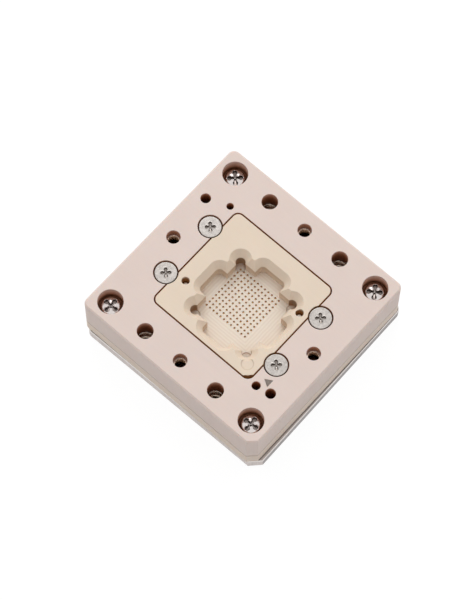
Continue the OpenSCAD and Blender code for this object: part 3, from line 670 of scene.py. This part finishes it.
def formed_screw(node, material, head, recess, turn):
    """Screw turned from half its outline, with its rim rolled over and its cross
    recess pressed into the face."""
    size = size_of(node)
    radius, flat = size.x / 2, size.x / 2 - head["roll"]
    rim = -head["dome"]
    bm = bmesh.new()
    corners, face = chain_of(bm, [(0, 0), (flat, rim)])
    rolled = bmesh.ops.spin(bm, geom=[corners[-1]], cent=(flat, 0, rim - head["roll"]),
                            axis=(0, 1, 0), angle=math.pi / 2, steps=ROLL_STEPS)["geom_last"]
    sides, _ = chain_of(bm, [(radius, -head["thickness"]), (SHANK_RADIUS, -head["thickness"]),
                             (SHANK_RADIUS, TIP_CHAMFER - size.z),
                             (SHANK_RADIUS - TIP_CHAMFER, -size.z), (0, -size.z)])
    bm.edges.new((rolled[0], sides[0]))
    bmesh.ops.subdivide_edges(bm, edges=face, cuts=FACE_RINGS)
    turn_on_lathe(bm, FACE_STEPS)
    for vertex in bm.verts:
        x, y, z = vertex.co
        if z > rim - FACE_MARGIN and math.hypot(x, y) < flat + FACE_MARGIN:
            vertex.co.z = rim * (math.hypot(x, y) / flat) ** 2 - pressed_depth(x, y, recess)
    bmesh.ops.rotate(bm, verts=bm.verts, matrix=Matrix.Rotation(math.radians(turn), 3, "Z"))
    middle = middle_of(node)
    screw = piece_at(f"formed_{node}", bm, (middle.x, middle.y, top_of(node)), material)
    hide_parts(node)
    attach(screw, "socket")


FLAT_HEAD = {"thickness": 0.9, "dome": 0.0, "roll": 0.14}
SMALL_RECESS = {"reach": 0.94, "arm": 0.22, "lobe": 0.3, "depth": 0.55, "pit": 0.1}
RECESS_ANGLE = 45
for i in range(1, 5):
    formed_screw(f"nest_screw_{i}", SATIN_NICKEL, FLAT_HEAD, SMALL_RECESS,
                 RECESS_ANGLE)


# ---------------------------------------------------------------- corner screws
# Four long pan-headed screws, bright nickel over steel, sunk in deep counterbores. They
# clamp body and retainer to the base plate, and came to rest at odd angles.

PAN_HEAD = {"thickness": 1.3, "dome": 0.12, "roll": 0.3}
WIDE_RECESS = {"reach": 1.42, "arm": 0.24, "lobe": 0.42, "depth": 0.85, "pit": 0.2}
RESTING_ANGLES = (45, 35, 0, 4)
for i, angle in enumerate(RESTING_ANGLES, 1):
    formed_screw(f"corner_screw_{i}", BRIGHT_PLATING, PAN_HEAD, WIDE_RECESS, angle)


# ---------------------------------------------------------------- pin-one mark
# A small triangle engraved in the body beside the nest's key corner and filled with
# grey paint. It shows which way round the package goes in.

PAINT_GREY = shown_as(132, 120, 112)
MARK_X, MARK_Y, MARK_RADIUS = 13.66, -8.98, 0.85
MARK_DROP, MARK_THICKNESS, MARK_BEVEL = 0.02, 0.07, 0.015


def filler_paint():
    material, n, shader = begin_material("filler_paint", PAINT_GREY)
    patches = n.noise(n.place(), 5.0, 3.0, 0.6)
    n.feed(n.mix(n.remap(patches, 0.3, 0.7), shaded(PAINT_GREY, 0.75), shaded(PAINT_GREY, 1.1)),
           shader.inputs["Base Color"])
    n.feed(n.relief(0.3, 0.02 * MM, patches), shader.inputs["Normal"])
    shader.inputs["Roughness"].default_value = 0.6
    return material


bm = bmesh.new()
bmesh.ops.create_cone(bm, cap_ends=True, segments=3, radius1=MARK_RADIUS, radius2=MARK_RADIUS,
                      depth=MARK_THICKNESS, matrix=Matrix.Rotation(math.pi / 2, 4, "Z"))
bmesh.ops.bevel(bm, geom=bm.edges[:], offset=MARK_BEVEL, segments=2, profile=0.5,
                affect="EDGES", material=-1)
mark_height = top_of("socket_body") - (MARK_DROP + MARK_THICKNESS / 2) * MM
mark = piece_at("pin_one_paint", bm, (MARK_X * MM, MARK_Y * MM, mark_height), filler_paint())
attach(mark, "socket")


# ---------------------------------------------------------------- table, light and camera
# A wide white table under a soft studio light from behind the socket's -X +Y corner,
# and a long lens that looks down on its key corner.

TABLE_BOUNCE, TABLE_GLOW, SHADOW_DEPTH = 0.7, 0.92, 0.12
TABLE_HALF_WIDTH, TABLE_GAP = 3.0, 0.02 * MM
WHITE = (1, 1, 1, 1)


def even_grey(level):
    return (level, level, level, 1)


def seen_directly(n):
    """1 for what the camera, a reflection or a clear piece sees, 0 for plain light."""
    path = n.add("ShaderNodeLightPath")
    return n.math("MAXIMUM", path.outputs["Is Camera Ray"],
                  n.math("MAXIMUM", path.outputs["Is Glossy Ray"],
                         path.outputs["Is Transmission Ray"]))


paper = bpy.data.materials.new("white_table")
paper.use_nodes = True
paper.node_tree.nodes.clear()
n = ShaderNodes(paper.node_tree)
bounce = n.add("ShaderNodeBsdfDiffuse", {"Color": even_grey(TABLE_BOUNCE)})
glow = n.add("ShaderNodeEmission", {"Color": WHITE, "Strength": TABLE_GLOW})
shadow_catch = n.add("ShaderNodeBsdfDiffuse", {"Color": even_grey(SHADOW_DEPTH)})
pale = n.add("ShaderNodeAddShader", {0: glow.outputs[0], 1: shadow_catch.outputs[0]})
mixed = n.add("ShaderNodeMixShader", {0: seen_directly(n), 1: bounce.outputs[0],
                                      2: pale.outputs[0]})
n.add("ShaderNodeOutputMaterial", {0: mixed.outputs[0]})
bm = bmesh.new()
bmesh.ops.create_grid(bm, x_segments=2, y_segments=2, size=TABLE_HALF_WIDTH / MM)
table = piece_at("white_table", bm, (0, 0, cad_bounds[0][2] - TABLE_GAP), paper)

BRIGHT_FROM = Vector((-0.5, 0.55, 0.67)).normalized()
DIM_SIDE, BRIGHT_SIDE, BRIGHT_SPREAD = 0.53, 1.04, 0.9
world = bpy.data.worlds.new("soft_studio")
bpy.context.scene.world = world
world.use_nodes = True
world.node_tree.nodes.clear()
n = ShaderNodes(world.node_tree)
towards = n.add("ShaderNodeVectorMath", {0: n.add("ShaderNodeTexCoord").outputs["Generated"],
                                         1: BRIGHT_FROM}, operation="DOT_PRODUCT").outputs["Value"]
strength = n.remap(towards, 0.0, BRIGHT_SPREAD, DIM_SIDE, BRIGHT_SIDE)
soft_light = n.add("ShaderNodeBackground", {"Color": WHITE, "Strength": strength})
white = n.add("ShaderNodeBackground", {"Color": WHITE, "Strength": 1.0})
mixed = n.add("ShaderNodeMixShader", {0: seen_directly(n), 1: soft_light.outputs[0],
                                      2: white.outputs[0]})
n.add("ShaderNodeOutputWorld", {0: mixed.outputs[0]})

LAMP_PLACE, LAMP_AIM = Vector((-0.42, 0.42, 0.58)), Vector((0, 0, 0.01))
lamp = bpy.data.objects.new("key_softbox", bpy.data.lights.new("key_softbox", "AREA"))
bpy.context.scene.collection.objects.link(lamp)
lamp.data.shape = "DISK"
lamp.data.size = 0.45
lamp.data.energy = 1.4
lamp.location = LAMP_PLACE
lamp.rotation_euler = (LAMP_AIM - LAMP_PLACE).to_track_quat("-Z", "Y").to_euler()

EYE, FOCAL_LENGTH, SENSOR_WIDTH = Vector((109.92, -130.78, 450.94)) * MM, 165.41, 36
FORWARD = Vector((-0.2374, 0.2724, -0.9324)).normalized()
UPWARD = Vector((-0.6219, 0.6948, 0.3613))
up = (UPWARD - FORWARD * UPWARD.dot(FORWARD)).normalized()
turned = Matrix((FORWARD.cross(up), up, -FORWARD)).transposed().to_4x4()
camera = bpy.data.objects.new("camera", bpy.data.cameras.new("camera"))
bpy.context.scene.collection.objects.link(camera)
camera.data.lens = FOCAL_LENGTH
camera.data.sensor_width = SENSOR_WIDTH
camera.data.clip_start, camera.data.clip_end = 0.01, 20
camera.matrix_world = Matrix.Translation(EYE) @ turned
bpy.context.scene.camera = camera
bpy.context.scene.view_settings.view_transform = "Standard"
